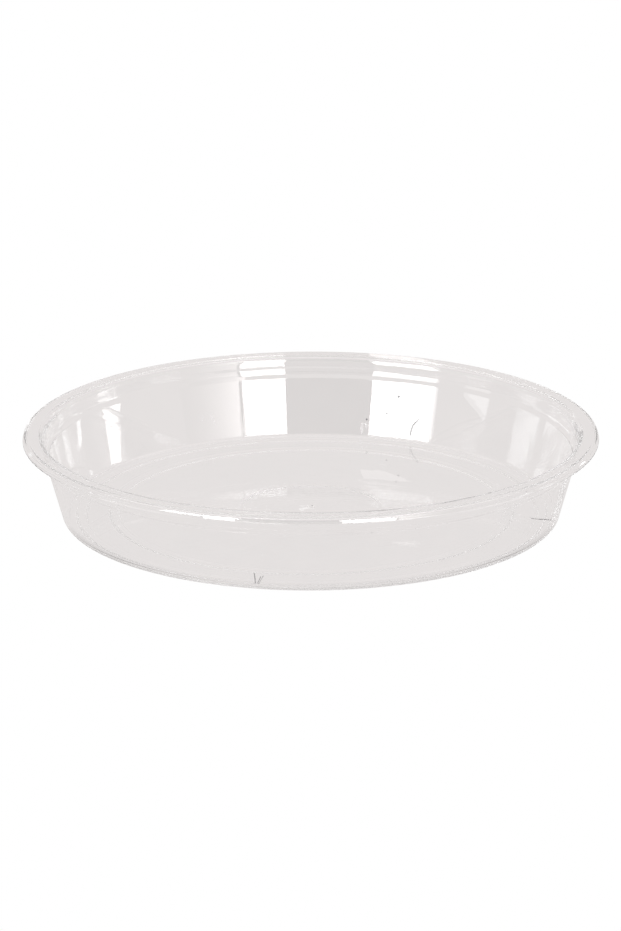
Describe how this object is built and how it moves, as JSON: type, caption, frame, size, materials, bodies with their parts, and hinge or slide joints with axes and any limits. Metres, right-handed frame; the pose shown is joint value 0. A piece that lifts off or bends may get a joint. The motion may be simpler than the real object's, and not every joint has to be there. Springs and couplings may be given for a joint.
{
  "type": "plant saucer",
  "caption": "Clear plastic drip saucer for a plant pot: a round shallow dish with a flared wall, a flat turned-down rim, a small stacking step and two low foot rings.",
  "frame": {"origin": "the middle of the standing face, on the dish's axis", "axes": "+Z is the dish's axis, up, with the open side up; the dish is a body of revolution, so +X and +Y are any two level directions, and +Y is the way the picture looks"},
  "size_m": [0.254, 0.254, 0.0385],
  "materials": {
    "clear_plastic": "clear gloss"
  },
  "bodies": {
    "root": {"saucer": "clear_plastic"}
  },
  "joints": []
}
